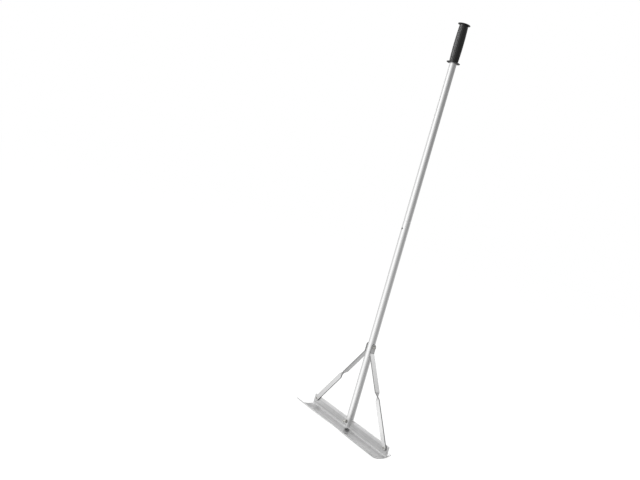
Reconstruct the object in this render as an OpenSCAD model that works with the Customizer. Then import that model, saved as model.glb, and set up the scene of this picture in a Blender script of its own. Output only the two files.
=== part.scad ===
// Landscape rake: a curved extruded blade with an upright rib, a two section tubular
// handle that straddles the rib, two twisted flat braces, a rubber grip and a snap button.
// X runs along the blade, Z up the handle, and the wide wing of the blade reaches to -Y.
// The origin is on the handle axis at mid grip. Heights (names ending in _h) are measured
// from the blade's inner face under the handle, and base_z is where that face lies.

/* [Blade] */
// Length of the blade
blade_l = 610; // [450:10:914]
// Inner radius of the blade's curve
blade_r = 105; // [90:1:130]
// Thickness of the blade's wall
blade_t = 3; // [2:0.1:4]
// Distance that the curve's lowest line lies in front of the handle
curve_offset = 33; // [20:1:40]
// Angle that the wide front wing spans from the curve's lowest line
front_angle = 41.5; // [30:0.5:50]
// Angle that the short back wing spans from the curve's lowest line
back_angle = 32; // [26:0.5:40]
// Height of the rib above the blade's inner face
rib_h = 45; // [40:1:60]
// Thickness of the rib
rib_t = 4; // [3:0.1:6]
// Radius of the two fillets at the rib's root
root_r = 5; // [2:0.5:7]
// Radius of the rib's two top edges
rib_edge_r = 1; // [0.5:0.1:1.4]

/* [Handle] */
// Outer diameter of both handle sections
tube_d = 34; // [30:1:38]
// Wall of both handle sections
tube_t = 1.5; // [1.2:0.1:2]
// Height of the lower section's foot over the blade
foot_h = 9; // [8:0.5:14]
// Height of the joint between the sections
joint_h = 985; // [800:5:1100]
// Bare length of the upper section, from the joint to the grip
upper_l = 738; // [500:2:900]
// Length of the spigot inside the lower section
spigot_l = 85; // [70:1:120]
// Height of the cone where the upper section is drawn down to the spigot
cone_h = 3; // [2:0.5:5]
// Gap between the slot in the foot and the rib, on each side
slot_gap = 0.2; // [0.1:0.05:0.5]
// Gap between the slot's end and the rib's top edge
slot_end_gap = 1; // [0.5:0.1:3]
// Radial clearance of the spigot in the lower section
spigot_fit = 0.1; // [0.05:0.01:0.2]

/* [Grip] */
// Length of the grip between the outer faces of its flanges
grip_l = 178; // [140:1:220]
// Body diameter at the lower end of the grip
grip_low_d = 39; // [38:0.5:44]
// Body diameter at the swell half way up the grip
grip_mid_d = 43; // [40:0.5:48]
// Body diameter at the upper end of the grip
grip_top_d = 38.5; // [38:0.5:42]
// Diameter of the grip's lower flange
low_flange_d = 62; // [54:1:70]
// Diameter of the grip's upper flange
top_flange_d = 57; // [50:1:64]
// Thickness of both flanges
flange_t = 3; // [2:0.1:4]
// Height of the dome that closes the grip
dome_h = 6; // [4:0.5:9]
// Diameter of the dome where it leaves the upper flange
dome_d = 34; // [28:1:40]
// Rubber between the tube's end and the top of the upper flange
cap_t = 4; // [3:0.5:6]
// Number of lengthwise ribs around the grip
grip_ribs = 20; // [12:2:28]
// Width of one lengthwise rib
grip_rib_w = 2; // [1:0.1:3]
// Height of one lengthwise rib over the body
grip_rib_h = 0.7; // [0.4:0.1:1]
// Clearance between the grip and the tube
grip_fit = 0.05; // [0.02:0.01:0.1]

/* [Snap button] */
// Distance of the button below the joint
button_drop = 36; // [25:1:50]
// Diameter of the button
button_d = 8; // [6:0.5:9]
// How far the button stands out of the lower section
button_out = 3; // [2:0.1:4]
// Diameter of the collar that stops the button inside the spigot
collar_d = 11; // [10:0.5:12]
// Thickness of the collar
collar_t = 1; // [0.8:0.1:1.5]
// Radial clearance of the button in the spigot's hole
button_fit = 0.1; // [0.05:0.01:0.1]
// Radial clearance of the button in the lower section's hole
button_hole_gap = 0.3; // [0.2:0.05:0.5]

/* [Leaf spring] */
// Width of the leaf
leaf_w = 9; // [7:0.5:10]
// Thickness of the leaf
leaf_t = 0.6; // [0.4:0.1:0.8]
// Inner radius of the leaf's bend
leaf_bend_r = 3; // [2:0.5:4]
// Distance from the button to the centre of the leaf's bend
leaf_drop = 46; // [40:1:48]
// Length of the flat pad behind the button
pad_l = 12; // [10:0.5:14]

/* [Braces] */
// Width of the flat bar
bar_w = 25; // [20:0.5:28]
// Thickness of the flat bar
bar_t = 5; // [3:0.1:6]
// Height of the bend below the tab
bend_h = 366; // [300:2:420]
// Inner radius of the bend
bend_r = 5; // [3:0.5:8]
// Distance from the bend up to the tab's bolt
tab_rise = 28; // [24:0.5:34]
// Distance of the lower bolts from the ends of the blade
end_margin = 25; // [18:1:40]
// Length of the quarter turn twist
twist_l = 38; // [34:1:60]
// Share of the sloping bar above the middle of the twist
twist_at = 0.465; // [0.4:0.005:0.6]

/* [Fasteners] */
// Diameter of the bolts
bolt_d = 8; // [6:1:8]
// Height of the bolts that hold the rib, over the blade's inner face
rib_bolt_h = 31; // [26:0.5:33]
// Length of the two long bolts under the head
long_bolt_l = 55; // [53:1:65]
// Length of the two short bolts under the head
short_bolt_l = 20; // [18:1:25]
// Diameter of the round bolt heads
head_d = 14; // [12:0.5:16]
// Height of the round bolt heads
head_h = 4.4; // [3.5:0.1:5]
// Width across the flats of the heads' hexagon sockets
socket_af = 5; // [4:0.5:5]
// Depth of the hexagon sockets
socket_depth = 2.6; // [2:0.1:3]
// Width across the flats of the nuts
nut_af = 13; // [12:0.5:14]
// Height of the nuts
nut_h = 6.5; // [5:0.1:7]
// Outer diameter of the washers
washer_d = 16; // [14:0.5:18]
// Thickness of the washers
washer_t = 1.6; // [1.2:0.1:2]
// Radial clearance of a bolt in the parts it passes through
bolt_gap = 0.3; // [0.2:0.05:0.5]
// Radial clearance of a bolt in its nut
thread_gap = 0.05; // [0.02:0.01:0.1]
// Gap left between faces that are bolted together
seat_gap = 0.05; // [0.02:0.01:0.1]

/* [Hidden] */
// Facets of the tubes and the grip, of small and of large rounds, and of hexagons
$fn = 96;
small_fn = 48;
large_fn = 240;
hex_fn = 6;
// Facets of the twist, along the bar and across its width
twist_steps = 24;
twist_strips = 6;
// How far cutting bodies run past what they cut
over = 1;
// Shapes that make one solid differ by this much where they meet, so no faces coincide
skin = 0.05;
// How far straight bars reach into the ends of a bend
lap = 0.4;

// Heights and radii shared by the pieces
grip_h = joint_h + upper_l;
base_z = -(grip_h + grip_l / 2);
tube_r = tube_d / 2;
bore_r = tube_r - tube_t;
spigot_r = bore_r - spigot_fit;
spigot_bore_r = spigot_r - tube_t;
tube_top_h = grip_h + grip_l - cap_t;
button_h = joint_h - button_drop;
tab_bolt_h = bend_h + tab_rise;

// Blade section: centre of its curve, and the wing tips' directions
curve_h = sqrt(blade_r ^ 2 - curve_offset ^ 2);
outer_r = blade_r + blade_t;

// Brace: centre line of the tab, radius of the bend, and the plane of the lower half
tab_x = tube_r + seat_gap + bar_t / 2;
bend_mid_r = bend_r + bar_t / 2;
low_y = -(rib_t / 2 + seat_gap + bar_t / 2);
low_bolt_x = blade_l / 2 - end_margin;
// The sloping part leaves the bend as a tangent that meets the lower bolt's axis
run_x = low_bolt_x - tab_x - bend_mid_r;
run_z = bend_h - rib_bolt_h;
run = sqrt(run_x ^ 2 + run_z ^ 2);
slope = atan2(run_x, run_z) + asin(bend_mid_r / run);
slope_l = sqrt(run ^ 2 - bend_mid_r ^ 2);
upper_flat_l = slope_l * twist_at - twist_l / 2;

// Snap button: its collar meets the spigot's round wall along two edges
collar_y = sqrt(spigot_bore_r ^ 2 - (collar_d / 2) ^ 2) - seat_gap;

// Leaf spring: the pad lies behind the collar, and the rear tip just inside the spigot's wall.
// Both arms leave the bend as tangents; lean is an arm's angle from the handle axis
leaf_mid_r = leaf_bend_r + leaf_t / 2;
pad_y = collar_y - collar_t - seat_gap - leaf_t / 2;
rear_y = sqrt(spigot_bore_r ^ 2 - (leaf_w / 2) ^ 2) - seat_gap - leaf_t;
front_rise = leaf_drop - pad_l / 2;
rear_rise = leaf_drop + pad_l / 2;
front_lean = atan2(pad_y, front_rise) - asin(leaf_mid_r / norm([pad_y, front_rise]));
rear_lean = atan2(rear_y, rear_rise) - asin(leaf_mid_r / norm([rear_y, rear_rise]));

// Width of a hexagon over its corners, from the width across its flats
function over_corners(flats) = flats / cos(30);

module at_h(h) translate([0, 0, base_z + h]) children();

// Turns a piece that is drawn along +Z so that it points to -Y or to +X
module face_front() rotate([90, 0, 0]) children();
module face_right() rotate([0, 90, 0]) children();

// A rectangle with its lower edge on y = 0 and round upper corners
module round_top(w, h, r) {
    translate([-w / 2, 0]) square([w, h - r]);
    translate([-w / 2 + r, 0]) square([w - 2 * r, h]);
    for (side = [-1, 1])
        translate([side * (w / 2 - r), h - r]) circle(r, $fn = small_fn);
}

// Part of the blade's section between two angles from its lowest line
module curved_wall() {
    // The sector's two sides and its lowest corner lie well outside the wall
    side_l = 2 * outer_r;
    low_l = 3 * outer_r;
    translate([-curve_offset, curve_h]) intersection() {
        difference() {
            circle(outer_r, $fn = large_fn);
            circle(blade_r, $fn = large_fn);
        }
        polygon([[0, 0],
                 [-side_l * sin(front_angle), -side_l * cos(front_angle)],
                 [0, -low_l],
                 [side_l * sin(back_angle), -side_l * cos(back_angle)]]);
    }
}

// Centre of the fillet on one side of the rib (-1 front, 1 back)
function fillet_centre(side) =
    let (y = side * (rib_t / 2 + root_r - skin))
    [y, curve_h - sqrt((blade_r - root_r + skin) ^ 2 - (y + curve_offset) ^ 2)];

// Point in the middle of the wall, on the line from the curve's centre through a given point
function in_wall(point) =
    let (from_curve = point - [-curve_offset, curve_h])
    [-curve_offset, curve_h] + from_curve * (blade_r + blade_t / 2) / norm(from_curve);

// Foot of the rib, hollowed by the two fillets
module rib_root() {
    front = fillet_centre(-1);
    back = fillet_centre(1);
    difference() {
        polygon([front, in_wall(front), in_wall([0, 0]), in_wall(back), back]);
        translate(front) circle(root_r, $fn = small_fn);
        translate(back) circle(root_r, $fn = small_fn);
    }
}

module blade() {
    color([0.76, 0.77, 0.78]) difference() {
        at_h(0) rotate([90, 0, 90]) translate([0, 0, -blade_l / 2])
            linear_extrude(blade_l) {
                curved_wall();
                translate([0, -blade_t / 2]) round_top(rib_t, rib_h + blade_t / 2, rib_edge_r);
                rib_root();
            }
        for (x = [-low_bolt_x, 0, low_bolt_x])
            translate([x, 0, 0]) cross_hole(rib_bolt_h);
    }
}

// Hole for a bolt along Y, through everything on the handle's axis
module cross_hole(h) at_h(h) face_front()
    cylinder(r = bolt_d / 2 + bolt_gap, h = 2 * tube_d, center = true, $fn = small_fn);

// Hole for a bolt along X, through the handle and the tabs
module side_hole(h) at_h(h) face_right()
    cylinder(r = bolt_d / 2 + bolt_gap, h = 2 * tube_d, center = true, $fn = small_fn);

// Hole for the snap button in the front wall of a tube
module button_hole(gap) at_h(button_h) face_front()
    cylinder(r = button_d / 2 + gap, h = tube_d, $fn = small_fn);

module lower_tube() {
    slot_w = rib_t + 2 * slot_gap;
    slot_top_h = rib_h + slot_end_gap;
    color([0.80, 0.81, 0.82]) difference() {
        at_h(foot_h) cylinder(r = tube_r, h = joint_h - foot_h);
        at_h(foot_h - over) cylinder(r = bore_r, h = joint_h - foot_h + 2 * over);
        at_h(foot_h - over) translate([-tube_d / 2 - over, -slot_w / 2, 0])
            cube([tube_d + 2 * over, slot_w, slot_top_h - foot_h + over]);
        cross_hole(rib_bolt_h);
        side_hole(tab_bolt_h);
        button_hole(button_hole_gap);
    }
}

module upper_tube() {
    spigot_h = joint_h - spigot_l;
    cone_top_h = joint_h + cone_h;
    color([0.80, 0.81, 0.82]) difference() {
        union() {
            at_h(spigot_h) cylinder(r = spigot_r, h = spigot_l);
            at_h(joint_h) cylinder(r1 = spigot_r, r2 = tube_r, h = cone_h);
            at_h(cone_top_h) cylinder(r = tube_r, h = tube_top_h - cone_top_h);
        }
        at_h(spigot_h - over) cylinder(r = spigot_bore_r, h = spigot_l + over);
        at_h(joint_h) cylinder(r1 = spigot_bore_r, r2 = bore_r, h = cone_h);
        at_h(cone_top_h) cylinder(r = bore_r, h = tube_top_h - cone_top_h + over);
        button_hole(button_fit);
    }
}

// Swelling body of the grip, widened all round by a given height
module grip_barrel(body_l, wider) {
    half_l = body_l / 2;
    cylinder(d1 = grip_low_d + 2 * wider, d2 = grip_mid_d + 2 * wider, h = half_l);
    translate([0, 0, half_l])
        cylinder(d1 = grip_mid_d + 2 * wider, d2 = grip_top_d + 2 * wider, h = half_l);
}

module grip() {
    body_l = grip_l - 2 * flange_t;
    // Radius of the sphere whose cap is the dome
    dome_r = ((dome_d / 2) ^ 2 + dome_h ^ 2) / (2 * dome_h);
    color([0.13, 0.13, 0.13]) difference() {
        at_h(grip_h) {
            cylinder(d = low_flange_d, h = flange_t);
            translate([0, 0, flange_t]) {
                grip_barrel(body_l, 0);
                // Lengthwise ribs: each plate through the axis leaves one on either side
                intersection() {
                    grip_barrel(body_l, grip_rib_h);
                    for (i = [0 : grip_ribs / 2 - 1])
                        rotate(i * 360 / grip_ribs) translate([0, 0, body_l / 2])
                            cube([top_flange_d, grip_rib_w, body_l], center = true);
                }
            }
            translate([0, 0, grip_l - flange_t]) cylinder(d = top_flange_d, h = flange_t);
            intersection() {
                translate([0, 0, grip_l + dome_h - dome_r]) sphere(dome_r);
                translate([0, 0, grip_l - over]) cylinder(d = dome_d, h = dome_h + 2 * over);
            }
        }
        at_h(grip_h - over)
            cylinder(r = tube_r + grip_fit, h = tube_top_h - grip_h + over + grip_fit);
    }
}

// Round nosed pin with a collar behind the spigot's wall
module snap_button() {
    nose_y = tube_r + button_out;
    nose_r = button_d;
    color([0.70, 0.71, 0.72]) at_h(button_h) face_front() {
        translate([0, 0, collar_y - collar_t]) cylinder(d = collar_d, h = collar_t, $fn = small_fn);
        intersection() {
            translate([0, 0, collar_y - collar_t])
                cylinder(d = button_d, h = nose_y - collar_y + collar_t, $fn = small_fn);
            translate([0, 0, nose_y - nose_r]) sphere(nose_r);
        }
    }
}

// One arm of the leaf, from inside the bend up to a point at the given distance and rise
module leaf_arm(side, lean, reach_y, rise) {
    arm_l = sqrt(reach_y ^ 2 + rise ^ 2 - leaf_mid_r ^ 2);
    translate([0, side * reach_y, rise]) rotate([-side * lean, 0, 0])
        translate([0, 0, -(arm_l + lap) / 2])
            cube([leaf_w - 2 * skin, leaf_t, arm_l + lap], center = true);
}

// V shaped leaf: pad behind the button, front arm, bend, and rear arm on the far wall
module button_spring() {
    color([0.62, 0.63, 0.65]) at_h(button_h - leaf_drop) {
        translate([0, -pad_y, front_rise - lap + (pad_l + lap) / 2])
            cube([leaf_w, leaf_t, pad_l + lap], center = true);
        leaf_arm(-1, front_lean, pad_y, front_rise);
        leaf_arm(1, rear_lean, rear_y, rear_rise);
        rotate([90, 0, 90]) rotate(180 + front_lean)
            rotate_extrude(angle = 180 - front_lean - rear_lean) translate([leaf_mid_r, 0])
                square([leaf_t - 2 * skin, leaf_w - 4 * skin], center = true);
    }
}

// Outline of the bar's section, with points along its wide sides
bar_outline = [for (side = [1, -1], k = [0 : twist_strips])
    [side * bar_t / 2, side * bar_w * (k / twist_strips - 0.5)]];

// Section of the sloping bar at a depth below its top: the quarter turn, which also shifts
// the bar to low_y, lies between the upper and the lower flat. hand is the way it turns
function bar_section(depth, hand) =
    let (share = min(max((depth - upper_flat_l) / twist_l, 0), 1),
         turn = hand * 90 * share)
    [for (point = bar_outline)
        [point[0] * cos(turn) - point[1] * sin(turn),
         point[0] * sin(turn) + point[1] * cos(turn) + low_y * share,
         -depth]];

// The sloping bar, lofted through its sections from its top down to the lower bolt
module sloping_bar(hand) {
    depths = concat([-lap],
                    [for (i = [0 : twist_steps]) upper_flat_l + twist_l * i / twist_steps],
                    [slope_l]);
    points = [for (depth = depths) each bar_section(depth, hand)];
    n = len(bar_outline);
    last = n * (len(depths) - 1);
    // The four sided fields are cut along the diagonal that suits the hand of the twist
    sides = [for (i = [0 : len(depths) - 2], k = [0 : n - 1])
        let (a = n * i + k,
             b = n * i + (k + 1) % n)
        each hand > 0 ? [[a, b, b + n], [a, b + n, a + n]] : [[a, b, a + n], [b, b + n, a + n]]];
    ends = [for (k = [0 : twist_strips - 1])
        each [[n - 1 - k, n - 2 - k, k + 1, k],
              [last + k, last + k + 1, last + n - 2 - k, last + n - 1 - k]]];
    polyhedron(points, concat(sides, ends));
}

// Round end of a bar, centred on its bolt
module bar_end() cylinder(d = bar_w + 2 * skin, h = bar_t - 2 * skin, center = true);

// Brace on the right of the handle, with its quarter turn to one hand or the other
module brace(hand) {
    color([0.83, 0.84, 0.85]) difference() {
        union() {
            // Tab on the side of the handle
            at_h(bend_h - lap) translate([tab_x - bar_t / 2, -bar_w / 2, 0])
                cube([bar_t, bar_w, tab_rise + lap]);
            at_h(tab_bolt_h) translate([tab_x, 0, 0]) face_right() bar_end();
            // Bend
            at_h(bend_h) translate([tab_x + bend_mid_r, 0, 0])
                rotate([90, 0, 0]) rotate(180) rotate_extrude(angle = slope)
                    translate([bend_r + bar_t / 2, 0])
                        square([bar_t - 2 * skin, bar_w - 2 * skin], center = true);
            // Sloping part with the twist
            at_h(bend_h) translate([tab_x + bend_mid_r, 0, 0]) rotate([0, -slope, 0])
                translate([-bend_mid_r, 0, 0]) sloping_bar(hand);
            // Round lower end on the rib
            at_h(rib_bolt_h) translate([low_bolt_x, low_y, 0]) face_front() bar_end();
        }
        side_hole(tab_bolt_h);
        translate([low_bolt_x, 0, 0]) cross_hole(rib_bolt_h);
    }
}

// Both bars are twisted alike, so the mirrored one starts from the other hand
module right_brace() brace(1);
module left_brace() mirror([1, 0, 0]) brace(-1);

// Bolt with its head's underside on z = 0 and its shank along -Z
module round_head_bolt(length) {
    dome_r = ((head_d / 2) ^ 2 + head_h ^ 2) / (2 * head_h);
    color([0.78, 0.72, 0.56]) difference() {
        union() {
            translate([0, 0, -length]) cylinder(d = bolt_d, h = length + over, $fn = small_fn);
            intersection() {
                translate([0, 0, head_h - dome_r]) sphere(dome_r);
                cylinder(d = head_d, h = head_h + over);
            }
        }
        translate([0, 0, head_h - socket_depth])
            cylinder(d = over_corners(socket_af), h = socket_depth + over, $fn = hex_fn);
    }
}

// Nut and washer, drawn on the seat at z = 0 and reaching along +Z
module nut() {
    color([0.78, 0.72, 0.56]) translate([0, 0, washer_t + 2 * seat_gap]) difference() {
        cylinder(d = over_corners(nut_af), h = nut_h, $fn = hex_fn);
        translate([0, 0, -over])
            cylinder(r = bolt_d / 2 + thread_gap, h = nut_h + 2 * over, $fn = small_fn);
    }
}

module washer() {
    color([0.80, 0.75, 0.60]) translate([0, 0, seat_gap]) difference() {
        cylinder(d = washer_d, h = washer_t, $fn = small_fn);
        translate([0, 0, -over])
            cylinder(r = bolt_d / 2 + bolt_gap, h = washer_t + 2 * over, $fn = small_fn);
    }
}

// Seats of the fasteners: which face each head, and each washer with its nut, lies on
module handle_head_seat() at_h(rib_bolt_h) rotate([-90, 0, 0])
    translate([0, 0, tube_r + seat_gap]) children();
module handle_nut_seat() at_h(rib_bolt_h) face_front() translate([0, 0, tube_r]) children();
module tab_head_seat() at_h(tab_bolt_h) rotate([0, -90, 0])
    translate([0, 0, tab_x + bar_t / 2 + seat_gap]) children();
module tab_nut_seat() at_h(tab_bolt_h) face_right()
    translate([0, 0, tab_x + bar_t / 2]) children();
module bar_head_seat(side) at_h(rib_bolt_h) translate([side * low_bolt_x, 0, 0]) face_front()
    translate([0, 0, bar_t / 2 + seat_gap - low_y]) children();
module rib_nut_seat(side) at_h(rib_bolt_h) translate([side * low_bolt_x, 0, 0])
    rotate([-90, 0, 0]) translate([0, 0, rib_t / 2]) children();

module handle_bolt() handle_head_seat() round_head_bolt(long_bolt_l);
module handle_nut() handle_nut_seat() nut();
module handle_washer() handle_nut_seat() washer();

module brace_top_bolt() tab_head_seat() round_head_bolt(long_bolt_l);
module brace_top_nut() tab_nut_seat() nut();
module brace_top_washer() tab_nut_seat() washer();

module left_blade_bolt() bar_head_seat(-1) round_head_bolt(short_bolt_l);
module left_blade_nut() rib_nut_seat(-1) nut();
module left_blade_washer() rib_nut_seat(-1) washer();

module right_blade_bolt() bar_head_seat(1) round_head_bolt(short_bolt_l);
module right_blade_nut() rib_nut_seat(1) nut();
module right_blade_washer() rib_nut_seat(1) washer();

blade();
lower_tube();
upper_tube();
grip();
snap_button();
button_spring();
left_brace();
right_brace();
handle_bolt();
handle_nut();
handle_washer();
brace_top_bolt();
brace_top_nut();
brace_top_washer();
left_blade_bolt();
left_blade_nut();
left_blade_washer();
right_blade_bolt();
right_blade_nut();
right_blade_washer();
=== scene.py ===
import math

import bmesh
import bpy
from mathutils import Matrix, Vector


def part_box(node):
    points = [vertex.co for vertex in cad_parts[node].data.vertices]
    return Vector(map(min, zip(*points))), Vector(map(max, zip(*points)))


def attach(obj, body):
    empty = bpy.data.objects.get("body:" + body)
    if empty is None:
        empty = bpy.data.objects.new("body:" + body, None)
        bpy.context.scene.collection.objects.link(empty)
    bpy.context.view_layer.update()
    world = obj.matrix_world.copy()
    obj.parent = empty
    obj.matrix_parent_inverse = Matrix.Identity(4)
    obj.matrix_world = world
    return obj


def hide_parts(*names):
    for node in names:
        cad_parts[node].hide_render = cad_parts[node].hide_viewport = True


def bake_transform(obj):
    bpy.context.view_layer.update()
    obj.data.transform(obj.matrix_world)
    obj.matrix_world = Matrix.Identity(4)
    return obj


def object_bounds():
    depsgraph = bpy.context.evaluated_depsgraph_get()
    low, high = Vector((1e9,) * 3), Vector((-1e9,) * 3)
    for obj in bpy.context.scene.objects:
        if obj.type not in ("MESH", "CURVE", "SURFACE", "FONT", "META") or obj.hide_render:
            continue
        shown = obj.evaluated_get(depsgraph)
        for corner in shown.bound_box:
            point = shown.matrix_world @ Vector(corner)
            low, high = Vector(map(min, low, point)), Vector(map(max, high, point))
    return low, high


# Landscape rake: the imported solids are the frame, and the pieces below dress them.
# +X runs along the blade, -Y towards its wide front wing, +Z up the handle. Lengths are metres.
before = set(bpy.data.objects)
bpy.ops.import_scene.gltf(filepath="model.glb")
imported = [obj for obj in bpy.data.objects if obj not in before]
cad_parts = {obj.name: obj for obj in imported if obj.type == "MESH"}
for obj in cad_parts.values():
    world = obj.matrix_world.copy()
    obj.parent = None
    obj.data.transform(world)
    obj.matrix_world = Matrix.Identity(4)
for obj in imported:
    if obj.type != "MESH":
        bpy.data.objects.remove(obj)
cad_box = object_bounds()
scene = bpy.context.scene
MM = 0.001

# Lengths that the pieces share with the solids
BASE_Z = -1812 * MM           # blade's inner face under the handle
BUTTON_H = 949 * MM           # button's axis above that face
TUBE_R = 17 * MM
RIB_T = 4 * MM
BAR_W = 25 * MM
BAR_T = 5 * MM
BAR_EDGE_R = 1.2 * MM         # rolled bar has small round edges
SEAT_GAP = 0.05 * MM
BEND_H = 366 * MM             # bend of the braces above the blade's inner face
BEND_MID_R = 7.5 * MM
TAB_RISE = 28 * MM            # upper bolt above the bend
TWIST_L = 38 * MM
TWIST_AT = 0.465              # middle of the twist, as a share of the sloping bar
RIB_BOLT_H = 31 * MM
LOW_BOLT_X = 280 * MM

# Widths below which points are one
WELD = 0.002 * MM             # corners of a solid's loose triangles
SEAM = 0.001 * MM             # seams and poles of new shapes


# Nodes and colours

def linear(code):
    """Linear colour of an sRGB hex value."""
    parts = [int(code[i:i + 2], 16) / 255 for i in (1, 3, 5)]
    return [c / 12.92 if c <= 0.04045 else ((c + 0.055) / 1.055) ** 2.4 for c in parts] + [1.0]


def add(tree, kind, inputs=None, **settings):
    """Adds a node with its settings. An input takes a constant or the socket that feeds it."""
    node = tree.nodes.new(kind)
    for name, value in settings.items():
        setattr(node, name, value)
    for name, value in (inputs or {}).items():
        if isinstance(value, bpy.types.NodeSocket):
            tree.links.new(value, node.inputs[name])
        else:
            node.inputs[name].default_value = value
    return node


def new_material(name):
    material = bpy.data.materials.new(name)
    material.use_nodes = True
    material.node_tree.nodes.clear()
    return material, material.node_tree


# Materials of the rake. Noise lies mostly between 0.3 and 0.7, so that range is spread out.

def extruded_aluminium():
    # 6063 aluminium with its mill finish: grey and satin, with fine die lines along the length and
    # broad bands where the die has drawn it a little brighter or duller.
    material, tree = new_material("extruded_aluminium")
    place = add(tree, "ShaderNodeTexCoord")
    along = add(tree, "ShaderNodeMapping", {
        "Vector": place.outputs["Object"], "Scale": (0.006, 1, 1)})
    # Bands about 6 mm wide
    bands = add(tree, "ShaderNodeTexNoise", {
        "Vector": along.outputs["Vector"], "Scale": 1 / (6 * MM), "Detail": 2.0, "Roughness": 0.6})
    # Die lines about 0.7 mm apart, which is coarser than real ones so that they show
    lines = add(tree, "ShaderNodeTexNoise", {
        "Vector": along.outputs["Vector"], "Scale": 1 / (0.7 * MM), "Detail": 2.0,
        "Roughness": 0.5})
    # Clouds of thin oxide, about 60 mm across
    clouds = add(tree, "ShaderNodeTexNoise", {
        "Vector": place.outputs["Object"], "Scale": 1 / (60 * MM), "Detail": 3.0,
        "Roughness": 0.55})
    # The tone is three parts bands and one part clouds
    quarter = add(tree, "ShaderNodeMath", {0: clouds.outputs["Fac"], 1: 0.25}, operation="MULTIPLY")
    tone = add(tree, "ShaderNodeMath", {0: bands.outputs["Fac"], 1: 0.75, 2: quarter.outputs[0]},
               operation="MULTIPLY_ADD")
    colour = add(tree, "ShaderNodeValToRGB", {"Fac": tone.outputs[0]})
    dull, bright = colour.color_ramp.elements
    dull.position, dull.color = 0.36, linear("#D8D8D8")
    bright.position, bright.color = 0.66, linear("#EFEFEF")
    rough = add(tree, "ShaderNodeMapRange", {
        "Value": lines.outputs["Fac"], "From Min": 0.3, "From Max": 0.7,
        "To Min": 0.28, "To Max": 0.36})
    bump = add(tree, "ShaderNodeBump", {
        "Height": lines.outputs["Fac"], "Strength": 0.4, "Distance": 0.012 * MM})
    shader = add(tree, "ShaderNodeBsdfPrincipled", {
        "Base Color": colour.outputs["Color"], "Metallic": 1.0, "Roughness": rough.outputs[0],
        "Normal": bump.outputs["Normal"]})
    add(tree, "ShaderNodeOutputMaterial", {"Surface": shader.outputs[0]})
    return material


def drawn_aluminium():
    # Drawn tube with a thin clear anodic layer: even, light and satin, with hairlines along it.
    material, tree = new_material("drawn_aluminium_tube")
    place = add(tree, "ShaderNodeTexCoord")
    along = add(tree, "ShaderNodeMapping", {
        "Vector": place.outputs["Object"], "Scale": (1, 1, 0.004)})
    # Hairlines about 0.6 mm apart, coarser than real ones so that they show
    hairs = add(tree, "ShaderNodeTexNoise", {
        "Vector": along.outputs["Vector"], "Scale": 1 / (0.6 * MM), "Detail": 2.0,
        "Roughness": 0.6})
    # Faint cloudy patches about 45 mm long, from handling
    patches = add(tree, "ShaderNodeTexNoise", {
        "Vector": place.outputs["Object"], "Scale": 1 / (45 * MM), "Detail": 4.0,
        "Roughness": 0.6})
    colour = add(tree, "ShaderNodeMix", {
        "Factor": hairs.outputs["Fac"], "A": linear("#E1E1E1"), "B": linear("#EBEBEB")},
        data_type="RGBA")
    rough = add(tree, "ShaderNodeMapRange", {
        "Value": patches.outputs["Fac"], "From Min": 0.3, "From Max": 0.7,
        "To Min": 0.26, "To Max": 0.34})
    bump = add(tree, "ShaderNodeBump", {
        "Height": hairs.outputs["Fac"], "Strength": 0.4, "Distance": 0.02 * MM})
    shader = add(tree, "ShaderNodeBsdfPrincipled", {
        "Base Color": colour.outputs["Result"], "Metallic": 1.0, "Roughness": rough.outputs[0],
        "Normal": bump.outputs["Normal"]})
    add(tree, "ShaderNodeOutputMaterial", {"Surface": shader.outputs[0]})
    return material


def rolled_aluminium():
    # Rolled flat bar, sheared, punched, bent and twisted: light and satin, with roll lines along
    # the bar.
    material, tree = new_material("rolled_aluminium_bar")
    place = add(tree, "ShaderNodeTexCoord")
    # Both bars slope alike on either side, so x counts from the handle outwards
    parts = add(tree, "ShaderNodeSeparateXYZ", {0: place.outputs["Object"]})
    away = add(tree, "ShaderNodeMath", {0: parts.outputs["X"]}, operation="ABSOLUTE")
    side = add(tree, "ShaderNodeCombineXYZ", {
        "X": away.outputs[0], "Y": parts.outputs["Y"], "Z": parts.outputs["Z"]})
    # The bars slope about 38.3 degrees from the handle
    upright = add(tree, "ShaderNodeMapping", {
        "Vector": side.outputs[0], "Rotation": (0, math.radians(38.3), 0)})
    along = add(tree, "ShaderNodeMapping", {
        "Vector": upright.outputs["Vector"], "Scale": (1, 1, 0.01)})
    # Roll lines about 0.9 mm apart
    lines = add(tree, "ShaderNodeTexNoise", {
        "Vector": along.outputs["Vector"], "Scale": 1 / (0.9 * MM), "Detail": 2.0,
        "Roughness": 0.55})
    # Cloudy patches about 25 mm across
    clouds = add(tree, "ShaderNodeTexNoise", {
        "Vector": place.outputs["Object"], "Scale": 1 / (25 * MM), "Detail": 3.0,
        "Roughness": 0.6})
    colour = add(tree, "ShaderNodeMix", {
        "Factor": clouds.outputs["Fac"], "A": linear("#DFDFDF"), "B": linear("#E9E9E9")},
        data_type="RGBA")
    rough = add(tree, "ShaderNodeMapRange", {
        "Value": lines.outputs["Fac"], "From Min": 0.3, "From Max": 0.7,
        "To Min": 0.30, "To Max": 0.42})
    bump = add(tree, "ShaderNodeBump", {
        "Height": lines.outputs["Fac"], "Strength": 0.4, "Distance": 0.02 * MM})
    shader = add(tree, "ShaderNodeBsdfPrincipled", {
        "Base Color": colour.outputs["Result"], "Metallic": 1.0, "Roughness": rough.outputs[0],
        "Normal": bump.outputs["Normal"]})
    add(tree, "ShaderNodeOutputMaterial", {"Surface": shader.outputs[0]})
    return material


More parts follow.
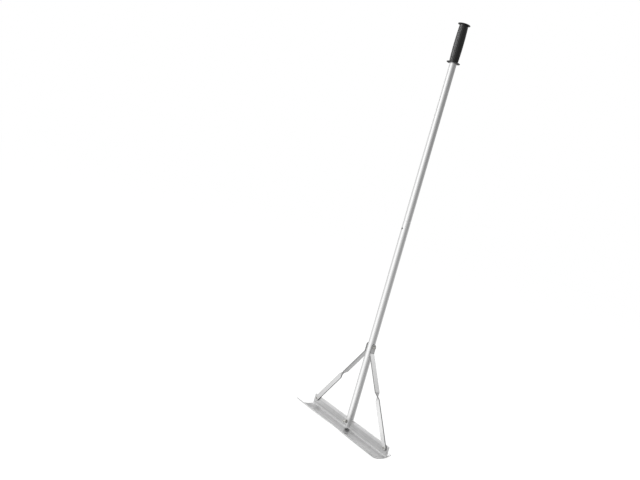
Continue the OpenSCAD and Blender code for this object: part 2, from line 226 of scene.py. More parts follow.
def sheared_edge_painted_shade():
    # Sheared edge of the flat bar: rougher than its faces and torn across in fine streaks, with
    # painted shade that makes it darker than its faces.
    material, tree = new_material("sheared_aluminium_edge_painted_shade")
    place = add(tree, "ShaderNodeTexCoord")
    # Tear marks about 0.8 mm apart
    tears = add(tree, "ShaderNodeTexNoise", {
        "Vector": place.outputs["Object"], "Scale": 1 / (0.8 * MM), "Detail": 3.0,
        "Roughness": 0.6})
    colour = add(tree, "ShaderNodeMix", {
        "Factor": tears.outputs["Fac"], "A": linear("#848484"), "B": linear("#9C9C9C")},
        data_type="RGBA")
    bump = add(tree, "ShaderNodeBump", {
        "Height": tears.outputs["Fac"], "Strength": 0.4, "Distance": 0.03 * MM})
    shader = add(tree, "ShaderNodeBsdfPrincipled", {
        "Base Color": colour.outputs["Result"], "Metallic": 1.0, "Roughness": 0.5,
        "Normal": bump.outputs["Normal"]})
    add(tree, "ShaderNodeOutputMaterial", {"Surface": shader.outputs[0]})
    return material


def socket_painted_shade():
    # Punched hexagon socket: bare steel and rough, painted dark as painted shade in its recess.
    material, tree = new_material("steel_socket_painted_shade")
    place = add(tree, "ShaderNodeTexCoord")
    # Blotches about 1.5 mm across in the painted shade
    oil = add(tree, "ShaderNodeTexNoise", {
        "Vector": place.outputs["Object"], "Scale": 1 / (1.5 * MM), "Detail": 2.0})
    colour = add(tree, "ShaderNodeMix", {
        "Factor": oil.outputs["Fac"], "A": linear("#2A2A2A"), "B": linear("#454443")},
        data_type="RGBA")
    shader = add(tree, "ShaderNodeBsdfPrincipled", {
        "Base Color": colour.outputs["Result"], "Metallic": 1.0, "Roughness": 0.48})
    add(tree, "ShaderNodeOutputMaterial", {"Surface": shader.outputs[0]})
    return material


def bright_zinc_plate():
    # Cold headed steel with a bright zinc plate: a clear gloss, a shade warmer than the aluminium.
    material, tree = new_material("bright_zinc_plated_steel")
    place = add(tree, "ShaderNodeTexCoord")
    # Plating tone drifts over about 5 mm
    drift = add(tree, "ShaderNodeTexNoise", {
        "Vector": place.outputs["Object"], "Scale": 1 / (5 * MM), "Detail": 3.0, "Roughness": 0.6})
    # Grain of the steel under the plate, about 0.25 mm
    grain = add(tree, "ShaderNodeTexNoise", {
        "Vector": place.outputs["Object"], "Scale": 1 / (0.25 * MM), "Detail": 2.0,
        "Roughness": 0.5})
    colour = add(tree, "ShaderNodeMix", {
        "Factor": drift.outputs["Fac"], "A": linear("#C0BFBB"), "B": linear("#DAD9D5")},
        data_type="RGBA")
    rough = add(tree, "ShaderNodeMapRange", {
        "Value": grain.outputs["Fac"], "From Min": 0.3, "From Max": 0.7,
        "To Min": 0.11, "To Max": 0.20})
    bump = add(tree, "ShaderNodeBump", {
        "Height": grain.outputs["Fac"], "Strength": 0.25, "Distance": 0.01 * MM})
    shader = add(tree, "ShaderNodeBsdfPrincipled", {
        "Base Color": colour.outputs["Result"], "Metallic": 1.0, "Roughness": rough.outputs[0],
        "Normal": bump.outputs["Normal"]})
    add(tree, "ShaderNodeOutputMaterial", {"Surface": shader.outputs[0]})
    return material


def dull_zinc_plate():
    # Stamped steel washer with a dull zinc plate: greyer and rougher than the bolts.
    material, tree = new_material("dull_zinc_plated_steel")
    place = add(tree, "ShaderNodeTexCoord")
    # Zinc crystals about 0.6 mm across
    spangle = add(tree, "ShaderNodeTexVoronoi", {
        "Vector": place.outputs["Object"], "Scale": 1 / (0.6 * MM)})
    colour = add(tree, "ShaderNodeMix", {
        "Factor": spangle.outputs["Distance"], "A": linear("#A5A4A1"), "B": linear("#BBBAB6")},
        data_type="RGBA")
    rough = add(tree, "ShaderNodeMapRange", {
        "Value": spangle.outputs["Distance"], "To Min": 0.32, "To Max": 0.46})
    bump = add(tree, "ShaderNodeBump", {
        "Height": spangle.outputs["Distance"], "Strength": 0.2, "Distance": 0.01 * MM})
    shader = add(tree, "ShaderNodeBsdfPrincipled", {
        "Base Color": colour.outputs["Result"], "Metallic": 1.0, "Roughness": rough.outputs[0],
        "Normal": bump.outputs["Normal"]})
    add(tree, "ShaderNodeOutputMaterial", {"Surface": shader.outputs[0]})
    return material


def nickel_plate_painted_shade():
    # Turned steel under a nickel plate: a grey gloss with the lathe's fine rings round the button's
    # axis, painted darker than the tube as painted shade of the button's hole.
    material, tree = new_material("nickel_plated_turned_steel")
    place = add(tree, "ShaderNodeTexCoord")
    centre = add(tree, "ShaderNodeMapping", {
        "Vector": place.outputs["Object"], "Location": (0, 0, -(BASE_Z + BUTTON_H))})
    flat = add(tree, "ShaderNodeMapping", {
        "Vector": centre.outputs["Vector"], "Scale": (1, 0, 1)})
    radius = add(tree, "ShaderNodeVectorMath", {0: flat.outputs["Vector"]}, operation="LENGTH")
    # Tool rings 0.3 mm apart
    rings = add(tree, "ShaderNodeMath", {0: radius.outputs["Value"], 1: 2 * math.pi / (0.3 * MM)},
                operation="MULTIPLY")
    wave = add(tree, "ShaderNodeMath", {0: rings.outputs[0]}, operation="SINE")
    # Stains about 3 mm across
    stain = add(tree, "ShaderNodeTexNoise", {
        "Vector": place.outputs["Object"], "Scale": 1 / (3 * MM), "Detail": 2.0})
    colour = add(tree, "ShaderNodeMix", {
        "Factor": stain.outputs["Fac"], "A": linear("#6E6E6F"), "B": linear("#8C8B89")},
        data_type="RGBA")
    bump = add(tree, "ShaderNodeBump", {
        "Height": wave.outputs[0], "Strength": 0.2, "Distance": 0.005 * MM})
    shader = add(tree, "ShaderNodeBsdfPrincipled", {
        "Base Color": colour.outputs["Result"], "Metallic": 1.0, "Roughness": 0.24,
        "Normal": bump.outputs["Normal"]})
    add(tree, "ShaderNodeOutputMaterial", {"Surface": shader.outputs[0]})
    return material


def blued_spring_steel():
    # Hardened leaf spring: dark grey with the blue-brown bloom of tempering.
    material, tree = new_material("tempered_spring_steel")
    place = add(tree, "ShaderNodeTexCoord")
    # Bloom in patches of about 8 mm
    bloom = add(tree, "ShaderNodeTexNoise", {
        "Vector": place.outputs["Object"], "Scale": 1 / (8 * MM), "Detail": 3.0})
    colour = add(tree, "ShaderNodeMix", {
        "Factor": bloom.outputs["Fac"], "A": linear("#5C6068"), "B": linear("#857C72")},
        data_type="RGBA")
    shader = add(tree, "ShaderNodeBsdfPrincipled", {
        "Base Color": colour.outputs["Result"], "Metallic": 1.0, "Roughness": 0.34})
    add(tree, "ShaderNodeOutputMaterial", {"Surface": shader.outputs[0]})
    return material


def moulded_rubber():
    # Moulded black rubber: nearly black with a soft sheen, a fine grain from the mould, and faint
    # streaks of bloom along the sleeve.
    material, tree = new_material("moulded_black_rubber")
    place = add(tree, "ShaderNodeTexCoord")
    # Mould grain about 0.5 mm
    grain = add(tree, "ShaderNodeTexNoise", {
        "Vector": place.outputs["Object"], "Scale": 1 / (0.5 * MM), "Detail": 3.0,
        "Roughness": 0.65})
    # Streaks about 9 mm wide
    along = add(tree, "ShaderNodeMapping", {
        "Vector": place.outputs["Object"], "Scale": (1, 1, 0.15)})
    streaks = add(tree, "ShaderNodeTexNoise", {
        "Vector": along.outputs["Vector"], "Scale": 1 / (9 * MM), "Detail": 3.0, "Roughness": 0.6})
    colour = add(tree, "ShaderNodeMix", {
        "Factor": streaks.outputs["Fac"], "A": linear("#0A0A0A"), "B": linear("#101010")},
        data_type="RGBA")
    rough = add(tree, "ShaderNodeMapRange", {
        "Value": streaks.outputs["Fac"], "From Min": 0.3, "From Max": 0.7,
        "To Min": 0.40, "To Max": 0.50})
    bump = add(tree, "ShaderNodeBump", {
        "Height": grain.outputs["Fac"], "Strength": 0.2, "Distance": 0.03 * MM})
    shader = add(tree, "ShaderNodeBsdfPrincipled", {
        "Base Color": colour.outputs["Result"], "Roughness": rough.outputs[0], "IOR": 1.47,
        "Normal": bump.outputs["Normal"]})
    add(tree, "ShaderNodeOutputMaterial", {"Surface": shader.outputs[0]})
    return material


# Mesh tools

def linked(bm, name, materials):
    """Turns a bmesh into an object of the scene."""
    mesh = bpy.data.meshes.new(name)
    bm.to_mesh(mesh)
    bm.free()
    for material in materials:
        mesh.materials.append(material)
    made = bpy.data.objects.new(name, mesh)
    scene.collection.objects.link(made)
    return made


def finished(bm, name, materials, node, body="rake", sharp=32):
    """Turns a bmesh into a piece that rides on its body, if it has one, and stands for a solid.
    sharp is the angle in degrees from which an edge shades as a crease."""
    bmesh.ops.recalc_face_normals(bm, faces=bm.faces)
    piece = linked(bm, name, materials)
    for face in piece.data.polygons:
        face.use_smooth = True
    piece.data.set_sharp_from_angle(angle=math.radians(sharp))
    # Large faces keep their own direction, so that only the rounded edges shade round
    shading = piece.modifiers.new("even_shading", "WEIGHTED_NORMAL")
    shading.weight = 100
    shading.keep_sharp = True
    if body:
        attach(piece, body)
    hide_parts(node)
    return piece


def solid_copy(node):
    """Copy of a solid's mesh, with its loose triangles joined."""
    bm = bmesh.new()
    bm.from_mesh(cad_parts[node].data)
    bmesh.ops.remove_doubles(bm, verts=bm.verts, dist=WELD)
    return bm


def round_edges(bm, edges, width, steps):
    bmesh.ops.bevel(bm, geom=edges, offset=width, offset_type="OFFSET", affect="EDGES",
                    segments=steps, profile=0.5, material=-1, clamp_overlap=False)


def softened(node, width, steps=2, rolled=0):
    """Copy of a solid whose sharp edges are rounded, as a die, a file or a tumbler leaves them.
    rolled is the radius of a tube's rolled upper end."""
    bm = solid_copy(node)
    bmesh.ops.dissolve_limit(bm, angle_limit=math.radians(0.3), verts=bm.verts, edges=bm.edges)
    if rolled:
        top = max(v.co.z for v in bm.verts) - 0.01 * MM
        outside = TUBE_R - 0.1 * MM
        rim = [e for e in bm.edges
               if all(v.co.z > top and v.co.xy.length > outside for v in e.verts)]
        round_edges(bm, rim, rolled, 4)
    sharp = [e for e in bm.edges if e.is_manifold and e.calc_face_angle() > math.radians(40)]
    round_edges(bm, sharp, width, steps)
    return bm


def leaf_part(name, front):
    """Half of the leaf spring: the front arm, cut into rows where the real one bends in with the
    button, or the rest, which stays."""
    low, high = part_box("button_spring")
    # The real front arm bends between its foot and the pad behind the button
    foot, pad = low.z + 4.5 * MM, high.z - 13 * MM
    rows = 12
    bm = solid_copy("button_spring")
    for row in range(rows + 1):
        bmesh.ops.bisect_plane(bm, geom=bm.verts[:] + bm.edges[:] + bm.faces[:], dist=SEAM,
                               plane_co=(0, 0, foot + (pad - foot) * row / rows),
                               plane_no=(0, 0, 1))
    centres = [(face, face.calc_center_median()) for face in bm.faces]
    other = [face for face, at in centres if (at.y < 0 and at.z > foot) != front]
    bmesh.ops.delete(bm, geom=other, context="FACES")
    cut = [edge for edge in bm.edges if edge.is_boundary]
    bmesh.ops.holes_fill(bm, edges=cut, sides=0)
    piece = finished(bm, name, [spring_metal], "button_spring",
                     None if front else "rake")
    if front:
        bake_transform(piece)


def turned(profile, steps):
    """Spins a line of (radius, height) points round Z. Returns the bmesh and the vertices of the
    last row, which lies on the first one."""
    bm = bmesh.new()
    line = [bm.verts.new((r, 0, z)) for r, z in profile]
    edges = [bm.edges.new(pair) for pair in zip(line, line[1:])]
    made = bmesh.ops.spin(bm, geom=line + edges, cent=(0, 0, 0), axis=(0, 0, 1), dvec=(0, 0, 0),
                          angle=2 * math.pi, steps=steps, use_merge=False, use_duplicate=False)
    return bm, {v for v in made["geom_last"] if isinstance(v, bmesh.types.BMVert)}


def closed(bm):
    """Joins the seam and the poles of a turned shape."""
    bmesh.ops.remove_doubles(bm, verts=bm.verts, dist=SEAM)
    return bm


def arc(centre, radius, start, end, steps):
    """Points of an arc in the (radius, height) plane, from one angle in degrees to another."""
    angles = [math.radians(start + (end - start) * i / steps) for i in range(steps + 1)]
    return [(centre[0] + radius * math.cos(a), centre[1] + radius * math.sin(a)) for a in angles]


def hexagon(flats, angle):
    """Radius of a hexagon's outline at an angle, with a corner at angle 0."""
    return flats / 2 / math.cos(angle % (math.pi / 3) - math.pi / 6)


def at_node(node, out, depth):
    """Matrix that stands a fastener drawn along +Z on a solid's far face, less depth, along out."""
    low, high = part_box(node)
    spot = (low + high) / 2
    axis = [abs(c) for c in out].index(1)
    spot[axis] = (high if out[axis] > 0 else low)[axis] - out[axis] * depth
    turn = {(0, -1, 0): Matrix.Rotation(math.pi / 2, 4, "X"),
            (0, 1, 0): Matrix.Rotation(-math.pi / 2, 4, "X"),
            (1, 0, 0): Matrix.Rotation(math.pi / 2, 4, "Y"),
            (-1, 0, 0): Matrix.Rotation(-math.pi / 2, 4, "Y")}[out]
    return Matrix.Translation(spot) @ turn


# Fasteners, all of 8 mm thread

HEAD_R = 7 * MM
HEAD_H = 4.4 * MM
HEAD_EDGE = 0.35 * MM         # width of the rounded edge round the head
SOCKET_AF = 5 * MM            # across the flats
SOCKET_DEPTH = 2.6 * MM
BOLT_R = 4 * MM
PITCH = 1.25 * MM
THREAD_DEPTH = 0.68 * MM
NUT_AF = 13 * MM
NUT_H = 6.5 * MM
WASHER_R = 8 * MM
WASHER_T = 1.6 * MM
LONG_BOLT = (55 * MM, 22 * MM)        # length and length of its thread
SHORT_BOLT = (20 * MM, 16 * MM)


def round_head_bolt(name, node, out, length, thread_l):
    """Round headed bolt with a hexagon socket and a real helical thread, pointing along -Z."""
    dome_r = (HEAD_R ** 2 + HEAD_H ** 2) / (2 * HEAD_H)
    corner_r = SOCKET_AF / 2 / math.cos(math.pi / 6)
    rim_r = corner_r * 1.13
    start_z = -(length - thread_l)
    root_r = BOLT_R - THREAD_DEPTH
    # The crests stay just inside the solid
    crest_r = BOLT_R - 0.03 * MM

    def dome(r):
        return HEAD_H - dome_r + math.sqrt(dome_r ** 2 - r ** 2)

    # Socket with a drilled point in its floor and a countersunk rim
    floor_z = dome(corner_r) - SOCKET_DEPTH
    profile = [(0, floor_z - 0.7 * MM), (corner_r * 0.97, floor_z), (corner_r, floor_z + 0.1 * MM),
               (corner_r, dome(rim_r) - 0.15 * MM)]
    # Dome, rounded edge, underside and shank
    profile += [(r, dome(r)) for r in
                [rim_r + (HEAD_R - HEAD_EDGE - rim_r) * i / 7 for i in range(8)]]
    profile += [(HEAD_R, dome(HEAD_R - HEAD_EDGE) - 0.3 * MM), (HEAD_R, 0.25 * MM),
                (HEAD_R - 0.25 * MM, 0), (BOLT_R + 0.3 * MM, 0), (crest_r, -0.3 * MM),
                (crest_r, start_z + PITCH)]
    # Root and crest of each turn of the thread
    rows = int(round((thread_l + 2 * PITCH) / PITCH))
    for i in range(rows):
        top = start_z + PITCH - i * PITCH
        profile += [(root_r, top - 0.42 * PITCH), (root_r, top - 0.58 * PITCH),
                    (crest_r, top - 0.94 * PITCH), (crest_r, top - PITCH)]
    profile += [(0, start_z + PITCH - rows * PITCH)]
    bm, last = turned(profile, 48)
    for v in bm.verts:
        radius = math.hypot(v.co.x, v.co.y)
        angle = 2 * math.pi if v in last else math.atan2(v.co.y, v.co.x) % (2 * math.pi)
        if v.co.z > 0 and 0 < radius <= corner_r + SEAM:
            # The socket is drawn in to a hexagon
            scale = hexagon(SOCKET_AF, angle) / corner_r * (radius / corner_r)
            v.co.x, v.co.y = (math.cos(angle) * corner_r * scale,
                              math.sin(angle) * corner_r * scale)
        elif v.co.z < start_z + 1.01 * PITCH:
            # The thread climbs one pitch a turn, and both its ends are cut off flat
            z = max(min(v.co.z + PITCH * angle / (2 * math.pi), start_z + PITCH), -length)
            # The end of the bolt is chamfered from a little under the thread's root
            limit = root_r - 0.25 * MM + (z + length)
            if radius > limit:
                v.co.x, v.co.y = v.co.x * limit / radius, v.co.y * limit / radius
            v.co.z = z
    closed(bm)
    # Faces in the socket take the material painted dark as painted shade
    for face in bm.faces:
        middle = face.calc_center_median()
        if middle.z > 0.3 * MM and math.hypot(middle.x, middle.y) < corner_r * 1.02:
            face.material_index = 1
    bm.transform(at_node(node, out, HEAD_H))
    return finished(bm, name, [bolt_metal, painted_shade_socket_metal], node)


def hexagon_nut(name, node, out):
    """Hexagon nut with both faces chamfered and a countersunk bore."""
    bore_r, sink = BOLT_R + 0.05 * MM, 0.5 * MM
    flat_r = NUT_AF / 2 * 0.95
    profile = [(bore_r, sink), (bore_r + sink, 0), (flat_r, 0), (NUT_AF / 2, 0.2 * MM),
               (NUT_AF / 2, NUT_H - 0.2 * MM), (flat_r, NUT_H), (bore_r + sink, NUT_H),
               (bore_r, NUT_H - sink), (bore_r, sink)]
    bm = closed(turned(profile, 96)[0])
    for v in bm.verts:
        radius = math.hypot(v.co.x, v.co.y)
        if radius > flat_r + 0.01 * MM:
            # The outside is drawn out to a hexagon, and its corners slope 30 degrees
            angle = math.atan2(v.co.y, v.co.x) % (2 * math.pi)
            wide = hexagon(NUT_AF, angle)
            drop = (wide - flat_r) * math.tan(math.radians(30))
            v.co.x, v.co.y = math.cos(angle) * wide, math.sin(angle) * wide
            v.co.z = drop if v.co.z < NUT_H / 2 else NUT_H - drop
    bm.transform(at_node(node, out, NUT_H))
    return finished(bm, name, [bolt_metal], node, sharp=24)


def flat_washer(name, node, out):
    """Stamped washer: rounded on the side that the punch pressed, crisper on the other."""
    inner = BOLT_R + 0.3 * MM
    soft, crisp = 0.35 * MM, 0.12 * MM
    profile = [(inner, crisp), (inner + crisp, 0), (WASHER_R - crisp, 0), (WASHER_R, crisp)]
    profile += arc((WASHER_R - soft, WASHER_T - soft), soft, 0, 90, 4)
    profile += arc((inner + soft, WASHER_T - soft), soft, 90, 180, 4) + [(inner, crisp)]
    bm = closed(turned(profile, 64)[0])
    bm.transform(at_node(node, out, WASHER_T))
    return finished(bm, name, [washer_metal], node)


# Grip

def ribbed_grip():
    """Rubber sleeve with two round edged flanges, rounded ribs between them and a domed end."""
    ribs, rib_h, fade_l = 20, 0.7 * MM, 4 * MM
    facets = 14               # to a rib
    low_r, mid_r, top_r = 19.5 * MM, 21.5 * MM, 19.25 * MM
    low_z, top_z = -89 * MM, 89 * MM
    flange_t, low_flange_r, top_flange_r = 3 * MM, 30.98 * MM, 28.48 * MM
    dome_r, dome_h, bore_r = 17 * MM, 5.98 * MM, TUBE_R + 0.05 * MM
    bore_top_z, bore_edge = top_z - 3.95 * MM, 0.6 * MM
    fillet = 1.6 * MM
    low_in, top_in = low_z + flange_t, top_z - flange_t

    def body_r(z):
        share = z / top_in
        return mid_r + (top_r - low_r) / 2 * share + ((top_r + low_r) / 2 - mid_r) * share ** 2

    # Bore, from its closed upper end to its mouth
    profile = [(0, bore_top_z), (bore_r, bore_top_z), (bore_r, low_z + bore_edge),
               (bore_r + bore_edge, low_z)]
    # Lower flange
    half = flange_t / 2
    profile += arc((low_flange_r - half, low_z + half), half, -90, 90, 10)
    profile += arc((body_r(low_in) + fillet, low_in + fillet), fillet, 270, 180, 5)
    # Body
    rows = 14
    body = [low_in + fillet + (top_in - low_in - 2 * fillet) * i / rows for i in range(1, rows)]
    profile += [(body_r(z), z) for z in body]
    # Upper flange
    profile += arc((body_r(top_in) + fillet, top_in - fillet), fillet, 180, 90, 5)
    profile += arc((top_flange_r - half, top_z - half), half, -90, 90, 10)
    # Dome
    ball_r = (dome_r ** 2 + dome_h ** 2) / (2 * dome_h)
    profile += [(r, top_z + dome_h - ball_r + math.sqrt(ball_r ** 2 - r ** 2))
                for r in [dome_r * math.cos(math.radians(a)) for a in range(0, 90, 9)]]
    profile += [(0, top_z + dome_h)]
    bm = closed(turned(profile, ribs * facets)[0])
    for v in bm.verts:
        radius = math.hypot(v.co.x, v.co.y)
        between = low_in + 0.01 * MM < v.co.z < top_in - 0.01 * MM
        if between and radius > bore_r + 1 * MM:
            # Ribs fade into the fillets at both ends, and the grooves keep half of their height
            end = min(v.co.z - low_in, top_in - v.co.z)
            fade = min(1, end / fade_l) * (radius < body_r(v.co.z) + 1.2 * MM)
            angle = math.atan2(v.co.y, v.co.x) * ribs
            height = rib_h * fade * (0.75 + 0.25 * math.cos(angle))
            v.co.x, v.co.y = v.co.x * (1 + height / radius), v.co.y * (1 + height / radius)
    return finished(bm, "grip_sleeve", [grip_rubber], "grip", sharp=50)


# Braces

def brace_stations(side, hand):
    """Sections along a brace: centre, direction of its thickness and of its width, half width.
    side is 1 for the right brace and -1 for the left, hand is the sense of the twist."""
    tab_x = TUBE_R + SEAT_GAP + BAR_T / 2
    low_y = -(RIB_T / 2 + SEAT_GAP + BAR_T / 2)
    run_x = LOW_BOLT_X - tab_x - BEND_MID_R
    run_z = BEND_H - RIB_BOLT_H
    run = math.hypot(run_x, run_z)
    slope = math.atan2(run_x, run_z) + math.asin(BEND_MID_R / run)
    slope_l = math.sqrt(run ** 2 - BEND_MID_R ** 2)
    upper_l = slope_l * TWIST_AT - TWIST_L / 2
    bend_z = BASE_Z + BEND_H
    half = BAR_W / 2
    bend_steps, twist_steps = 8, 32
    # Sections lie closer together towards the tip of a round end
    round_end = [math.radians(a) for a in (2, 8, 16, 25, 35, 46, 58, 70, 80, 90)]
    out = []
    across = Vector((0, 1, 0))
    # Tab, from its round top down to the bend
    for a in round_end:
        out.append((Vector((tab_x, 0, bend_z + TAB_RISE + half * math.cos(a))),
                    Vector((1, 0, 0)), across, half * math.sin(a)))
    # Bend
    for i in range(bend_steps + 1):
        a = slope * i / bend_steps
        out.append((Vector((tab_x + BEND_MID_R * (1 - math.cos(a)), 0,
                            bend_z - BEND_MID_R * math.sin(a))),
                    Vector((math.cos(a), 0, math.sin(a))), across, half))
    # Sloping bar with its quarter turn, down to the round end at the rib
    top = out[-1][0]
    down = Vector((math.sin(slope), 0, -math.cos(slope)))
    thin = Vector((math.cos(slope), 0, math.sin(slope)))
    depths = [(upper_l + TWIST_L * i / twist_steps, half) for i in range(twist_steps + 1)]
    depths += [(slope_l + half * math.cos(a), half * math.sin(a)) for a in reversed(round_end)]
    for depth, wide in depths:
        share = min(max((depth - upper_l) / TWIST_L, 0), 1)
        turn = hand * math.pi / 2 * share
        out.append((top + down * depth + across * low_y * share,
                    thin * math.cos(turn) + across * math.sin(turn),
                    across * math.cos(turn) - thin * math.sin(turn), wide))

    def flip(v):
        return Vector((side * v.x, v.y, v.z))

    return [(flip(p), flip(n), flip(w), wide) for p, n, w, wide in out]


def twisted_brace(name, node, side, hand):
    """Flat bar with round edges, pulled from section to section along the brace."""
    # Outline of a section: the corner that each point belongs to, and its place on its arc
    spots = []
    for sx, sy in ((1, 1), (-1, 1), (-1, -1), (1, -1)):
        around = [(sx, sy, math.cos(math.radians(a)), math.sin(math.radians(a)))
                  for a in (0, 30, 60, 90)]
        spots += around if sx * sy > 0 else around[::-1]
    stations = brace_stations(side, hand)

    def place(section, spot):
        centre, thin, across, wide = section
        sx, sy, c, s = spot
        edge = min(BAR_EDGE_R, wide * 0.8)
        x = sx * (BAR_T / 2 - BAR_EDGE_R * (1 - c))
        y = sy * (wide - edge * (1 - s))
        return centre + thin * x + across * y

    bm = bmesh.new()
    ring = bmesh.ops.create_circle(bm, segments=len(spots), radius=BAR_T, cap_ends=False)["verts"]
    for v, spot in zip(ring, spots):
        v.co = place(stations[0], spot)
    first = list(ring)
    edges = [bm.edges.get((a, b)) for a, b in zip(ring, ring[1:] + ring[:1])]
    for section in stations[1:]:
        made = bmesh.ops.extrude_edge_only(bm, edges=edges)["geom"]
        fresh = [v for v in made if isinstance(v, bmesh.types.BMVert)]
        by_place = {tuple(round(c, 7) for c in v.co): v for v in fresh}
        ring = [by_place[tuple(round(c, 7) for c in old.co)] for old in ring]
        for v, spot in zip(ring, spots):
            v.co = place(section, spot)
        edges = [bm.edges.get((a, b)) for a, b in zip(ring, ring[1:] + ring[:1])]
        for edge, spot, after in zip(edges, spots, spots[1:] + spots[:1]):
            if spot[1] == after[1]:
                # Faces round the bar's edges are sheared metal, darkened with painted shade
                edge.link_faces[0].material_index = 1
    bm.faces.new(ring).material_index = 1
    bm.faces.new(first[::-1]).material_index = 1
    return finished(bm, name, [bar_metal, painted_shade_edge_metal], node, sharp=50)


# Pieces

# Rounded edges of the solids' copies
DIE_EDGE = 0.45 * MM
FILED_EDGE = 0.25 * MM
TUMBLED_EDGE = 0.15 * MM
ROLLED_RIM = 1.3 * MM

blade_metal = extruded_aluminium()
tube_metal = drawn_aluminium()
bar_metal = rolled_aluminium()
painted_shade_edge_metal = sheared_edge_painted_shade()
bolt_metal = bright_zinc_plate()
painted_shade_socket_metal = socket_painted_shade()
washer_metal = dull_zinc_plate()
button_metal = nickel_plate_painted_shade()
spring_metal = blued_spring_steel()
grip_rubber = moulded_rubber()

finished(softened("blade", DIE_EDGE),
         "blade_extrusion", [blade_metal], "blade")
finished(softened("lower_tube", FILED_EDGE, rolled=ROLLED_RIM),
         "lower_handle", [tube_metal], "lower_tube")
finished(softened("upper_tube", FILED_EDGE),
         "upper_handle", [tube_metal], "upper_tube")
grip_sleeve = ribbed_grip()
twisted_brace("right_flat_bar", "right_brace", 1, 1)
twisted_brace("left_flat_bar", "left_brace", -1, -1)
finished(softened("snap_button", TUMBLED_EDGE, 3),
         "snap_pin", [button_metal], "snap_button", "button")
leaf_part("leaf_front_arm", True)
leaf_part("leaf_rear_arm", False)

FRONT, BACK, RIGHT, LEFT = (0, -1, 0), (0, 1, 0), (1, 0, 0), (-1, 0, 0)
round_head_bolt("handle_screw", "handle_bolt", BACK, *LONG_BOLT)
hexagon_nut("handle_hex_nut", "handle_nut", FRONT)
flat_washer("handle_flat_washer", "handle_washer", FRONT)
round_head_bolt("brace_top_screw", "brace_top_bolt", LEFT, *LONG_BOLT)
hexagon_nut("brace_top_hex_nut", "brace_top_nut", RIGHT)
flat_washer("brace_top_flat_washer", "brace_top_washer", RIGHT)
for side in ("left", "right"):
    round_head_bolt(side + "_blade_screw", side + "_blade_bolt", FRONT, *SHORT_BOLT)
    hexagon_nut(side + "_blade_hex_nut", side + "_blade_nut", BACK)
    flat_washer(side + "_blade_flat_washer", side + "_blade_washer", BACK)


# Camera, at the photograph's viewing angle and in its frame

IMAGE_W, IMAGE_H = 640, 480
FOCAL = 736.838               # focal length in pixels
CENTRE = (405, 235)           # pixel that the lens looks at straight on, from the upper left
CAMERA_AT = (2.56852, -2.12463, -0.73382)

view_right = Vector((0.603784, 0.746964, 0.278369))
view_up = Vector((-0.212380, -0.185848, 0.959351))
view_back = view_right.cross(view_up).normalized()
camera_data = bpy.data.cameras.new("camera")
camera_data.sensor_width = 36
camera_data.lens = FOCAL / IMAGE_W * camera_data.sensor_width
camera_data.shift_x = (IMAGE_W / 2 - CENTRE[0]) / IMAGE_W
camera_data.shift_y = (CENTRE[1] - IMAGE_H / 2) / IMAGE_W
camera = bpy.data.objects.new("camera", camera_data)
scene.collection.objects.link(camera)
camera.matrix_world = Matrix.Translation(CAMERA_AT) @ Matrix(
    (view_right, view_up, view_back)).transposed().to_4x4()
scene.camera = camera


# Studio

FLOOR_HALF = 14
FLOOR_WHITE = 0.80            # what the camera sees of the floor, besides the light on it
SKY_LEVEL = 0.4               # light of the world, which itself looks white
TENT_LEVEL = 1.4


def seen_itself(tree):
    """1 where the camera, gloss or glass looks at a surface, and 0 for the light it gives."""
    rays = add(tree, "ShaderNodeLightPath")
    seen = add(tree, "ShaderNodeMath", {
        0: rays.outputs["Is Camera Ray"], 1: rays.outputs["Is Glossy Ray"]}, operation="MAXIMUM")
    seen = add(tree, "ShaderNodeMath", {
        0: seen.outputs[0], 1: rays.outputs["Is Transmission Ray"]}, operation="MAXIMUM")
    return seen.outputs[0]


def pale_floor():
    """Floor that keeps its shadows and looks white, without lighting the rake more."""
    material, tree = new_material("pale_floor")
    lit = add(tree, "ShaderNodeBsdfDiffuse", {"Color": (0.5, 0.5, 0.5, 1)})
    strength = add(tree, "ShaderNodeMath", {0: seen_itself(tree), 1: FLOOR_WHITE},
                   operation="MULTIPLY")
    glow = add(tree, "ShaderNodeEmission", {
        "Color": (1, 1, 1, 1), "Strength": strength.outputs[0]})
    both = add(tree, "ShaderNodeAddShader", {0: lit.outputs[0], 1: glow.outputs[0]})
    add(tree, "ShaderNodeOutputMaterial", {"Surface": both.outputs[0]})
    bm = bmesh.new()
    bmesh.ops.create_grid(bm, x_segments=1, y_segments=1, size=FLOOR_HALF)
    bmesh.ops.translate(bm, verts=bm.verts, vec=(0, 0, cad_box[0].z))
    floor = linked(bm, "floor", [material])


def white_world():
    world = bpy.data.worlds.new("studio")
    scene.world = world
    world.use_nodes = True
    tree = world.node_tree
    tree.nodes.clear()
    level = add(tree, "ShaderNodeMapRange", {
        "Value": seen_itself(tree), "To Min": SKY_LEVEL, "To Max": 1.0})
    sky = add(tree, "ShaderNodeBackground", {
        "Color": (1, 1, 1, 1), "Strength": level.outputs[0]})
    add(tree, "ShaderNodeOutputWorld", {"Surface": sky.outputs[0]})


def soft_lamp(name, at, towards, width, height, level):
    """Large soft box whose face is about level times as bright as white paper. Gloss shows the
    tent in its place."""
    data = bpy.data.lights.new(name, "AREA")
    data.shape = "RECTANGLE"
    data.size = width
    data.size_y = height
    data.energy = level * math.pi * width * height
    lamp = bpy.data.objects.new(name, data)
    scene.collection.objects.link(lamp)
    lamp.location = at
    lamp.rotation_euler = (Vector(towards) - Vector(at)).to_track_quat("-Z", "Y").to_euler()
    lamp.visible_camera = False
    lamp.visible_glossy = False
    return lamp


def brightness_round(tree, turn, stops):
    """Grey level that changes round the handle. Angles in degrees count from the camera, + to its
    right."""
    ramp_node = add(tree, "ShaderNodeValToRGB", {"Fac": turn})
    ramp = ramp_node.color_ramp
    for stop in stops[1:-1]:
        ramp.elements.new(stop[0] / 360 + 0.5)
    for element, (degrees, level) in zip(ramp.elements, stops):
        grey = level / TENT_LEVEL
        element.position = degrees / 360 + 0.5
        element.color = (grey, grey, grey, 1)
    return ramp_node.outputs["Color"]


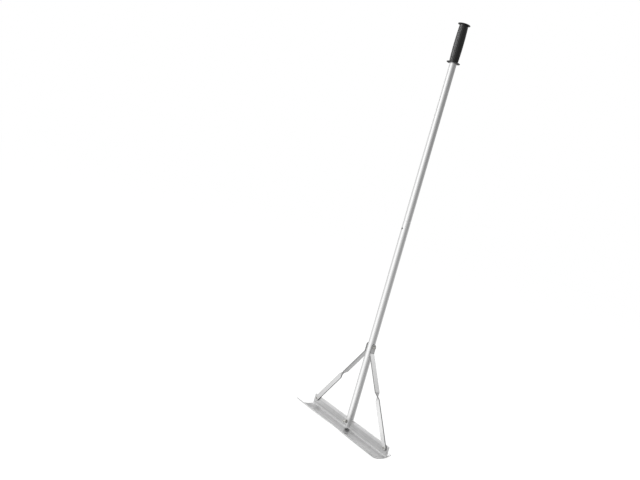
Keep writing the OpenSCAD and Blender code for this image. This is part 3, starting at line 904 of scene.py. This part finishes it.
def light_tent():
    """Round tent that only gloss sees: bright on the camera's left, with strips behind, and grey
    on its right. Its brightness round the handle is given at three heights."""
    material, tree = new_material("light_tent")
    place = add(tree, "ShaderNodeTexCoord")
    facing = math.atan2(camera.location.y, camera.location.x)
    turned_place = add(tree, "ShaderNodeMapping", {
        "Vector": place.outputs["Object"], "Rotation": (0, 0, -facing)})
    turn = add(tree, "ShaderNodeTexGradient", {"Vector": turned_place.outputs["Vector"]},
               gradient_type="RADIAL").outputs["Fac"]
    low = brightness_round(tree, turn, [
        (-180, 0.38), (-145, 0.42), (-120, 0.85), (-92, 1.0), (-76, 1.40), (-36, 1.40),
        (-20, 1.0), (0, 0.68), (15, 0.50), (31, 0.38), (47, 0.30), (64, 0.26), (90, 0.30),
        (110, 0.50), (135, 0.52), (180, 0.38)])
    middle = brightness_round(tree, turn, [
        (-180, 0.60), (-168, 0.60), (-156, 1.5), (-132, 1.5), (-116, 0.60), (-104, 0.44),
        (-92, 0.5), (-76, 1.35), (-36, 1.35), (-20, 0.90), (0, 0.54), (15, 0.40), (31, 0.31),
        (50, 0.25), (90, 0.28), (120, 0.36), (150, 0.36), (165, 0.60), (180, 0.60)])
    high = brightness_round(tree, turn, [
        (-180, 0.85), (-168, 0.85), (-156, 1.5), (-132, 1.5), (-116, 0.62), (-104, 0.46),
        (-92, 0.5), (-74, 1.2), (-36, 1.2), (-20, 0.90), (0, 0.54), (15, 0.50), (60, 0.60),
        (82, 1.25), (126, 1.25), (138, 0.38), (150, 0.38), (165, 0.85), (180, 0.85)])
    height = add(tree, "ShaderNodeSeparateXYZ", {0: place.outputs["Object"]}).outputs["Z"]
    mixed = low
    for band, start, end in ((middle, -0.7, 0.5), (high, 1.4, 2.2)):
        share = add(tree, "ShaderNodeMapRange", {
            "Value": height, "From Min": start, "From Max": end})
        mixed = add(tree, "ShaderNodeMix", {"Factor": share.outputs[0], "A": mixed, "B": band},
                    data_type="RGBA").outputs["Result"]
    # The floor throws some light back at the foot of the tent
    paler = add(tree, "ShaderNodeMapRange", {
        "Value": height, "From Min": -1.8, "From Max": 0.5, "To Min": 0.24, "To Max": 0})
    mixed = add(tree, "ShaderNodeMix", {
        "Factor": paler.outputs[0], "A": mixed, "B": (0.6, 0.6, 0.6, 1)},
        data_type="RGBA").outputs["Result"]
    glow = add(tree, "ShaderNodeEmission", {"Color": mixed, "Strength": TENT_LEVEL})
    add(tree, "ShaderNodeOutputMaterial", {"Surface": glow.outputs[0]})
    # Ground sheet just above the floor, wall and roof
    floor_z = cad_box[0].z + 1 * MM
    bm = closed(turned([(0, floor_z), (3.8, floor_z), (4.2, floor_z + 0.4), (4.2, 3.2),
                        (3.4, 4.4), (0, 4.8)], 64)[0])
    tent = linked(bm, "light_tent", [material])
    tent.visible_camera = False
    tent.visible_diffuse = False
    tent.visible_transmission = False
    tent.visible_shadow = False


pale_floor()
white_world()
light_tent()
soft_lamp("key_lamp", (0.6, -3.2, -0.3), (0, 0, -0.9), 3.2, 3.0, 1.6)
grip_lamp = soft_lamp("grip_lamp", (-0.37, -0.93, 0.19), (0, 0, 0.02), 0.42, 0.6, 10.0)
grip_lamp.visible_glossy = True
# This one is flagged off the metal, so it only puts a sheen on the rubber
grip_only = bpy.data.collections.new("grip_only")
grip_only.objects.link(grip_sleeve)
grip_lamp.light_linking.receiver_collection = grip_only
soft_lamp("top_lamp", (-0.3, 0.6, 1.9), (0, 0, -0.9), 2.6, 2.6, 0.8)
scene.view_settings.view_transform = "Standard"
